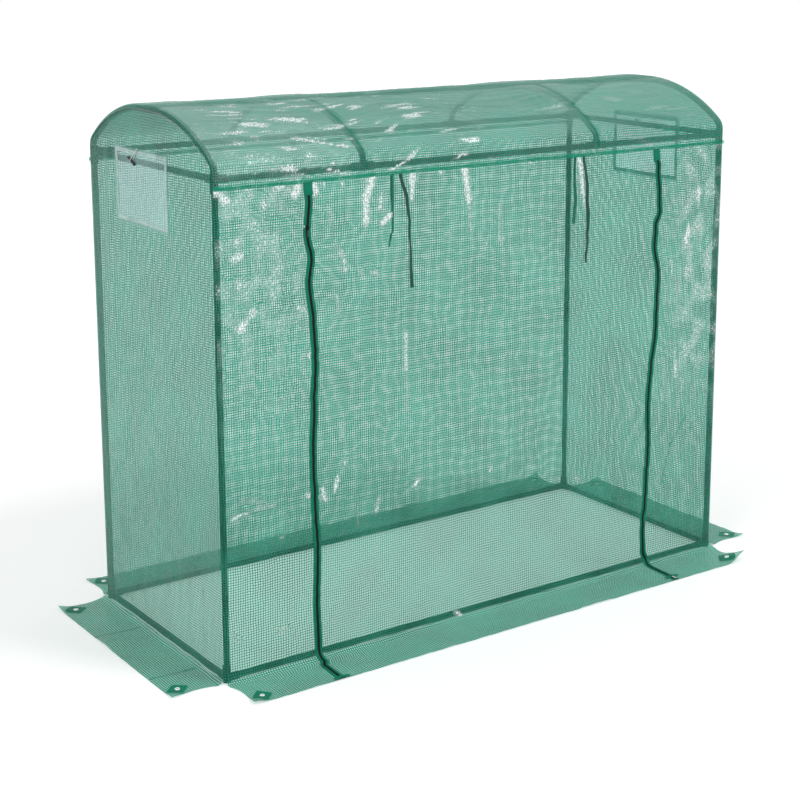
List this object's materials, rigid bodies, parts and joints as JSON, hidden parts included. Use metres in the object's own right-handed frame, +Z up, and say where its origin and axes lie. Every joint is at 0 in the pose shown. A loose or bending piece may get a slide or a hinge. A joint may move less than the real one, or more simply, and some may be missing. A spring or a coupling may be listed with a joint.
{
  "type": "polytunnel greenhouse",
  "caption": "Freestanding narrow polytunnel greenhouse: plug-together tube frame under a scrim-reinforced film cover with a zipped roll-up front, end vents and ground skirts.",
  "frame": {"origin": "on the ground below the middle of the house", "axes": "+X along the long front towards the right end, -Y out of the zipped front, +Z up"},
  "size_m": [2.3568, 1.1833, 1.6934],
  "materials": {
    "coated_tube": "satin powder coat",
    "joint_plastic": "satin",
    "film": "clear gloss film over green mesh",
    "eyelet_metal": "plated",
    "green_webbing": "woven",
    "zip_tape": "woven",
    "zip_metal": "satin",
    "white_tape": "hook and loop",
    "net": "fine mesh",
    "black_plastic": "satin",
    "white_cord": "braided",
    "dark_webbing": "woven"
  },
  "bodies": {
    "root": {"corner_posts_left": "coated_tube", "corner_posts_right": "coated_tube", "door_panel": "film", "eaves_corner_joints": "joint_plastic", "eaves_rail_front": "coated_tube", "eaves_rail_rear": "coated_tube", "end_cover_left": "film", "end_cover_right": "film", "end_eaves_rails": "coated_tube", "end_ground_rails": "coated_tube", "end_hoop_left": "coated_tube", "end_hoop_right": "coated_tube", "eyelet_patches": "green_webbing", "front_panel_left": "film", "front_panel_right": "film", "ground_corner_joints": "joint_plastic", "ground_rail_front": "coated_tube", "ground_rail_rear": "coated_tube", "hoop_tee_joints": "joint_plastic", "inner_door_ties": "dark_webbing", "middle_hoops": "coated_tube", "outer_door_ties": "dark_webbing", "rear_cover": "film", "ridge_joints": "joint_plastic", "ridge_rail": "coated_tube", "roof_cover": "film", "roof_seam_bands": "green_webbing", "skirt_eyelets": "eyelet_metal", "skirt_front_door": "film", "skirt_front_left": "film", "skirt_front_right": "film", "skirt_left": "film", "skirt_rear": "film", "skirt_right": "film", "toggle_cord_left": "white_cord", "toggle_cord_right": "white_cord", "vent_flap_left": "film", "vent_flap_right": "film", "vent_nets": "net", "vent_tapes": "white_tape", "vent_toggles": "black_plastic", "zip_left": "zip_tape", "zip_right": "zip_tape", "zip_sliders": "zip_metal", "zip_top_tabs": "green_webbing"}
  },
  "joints": []
}
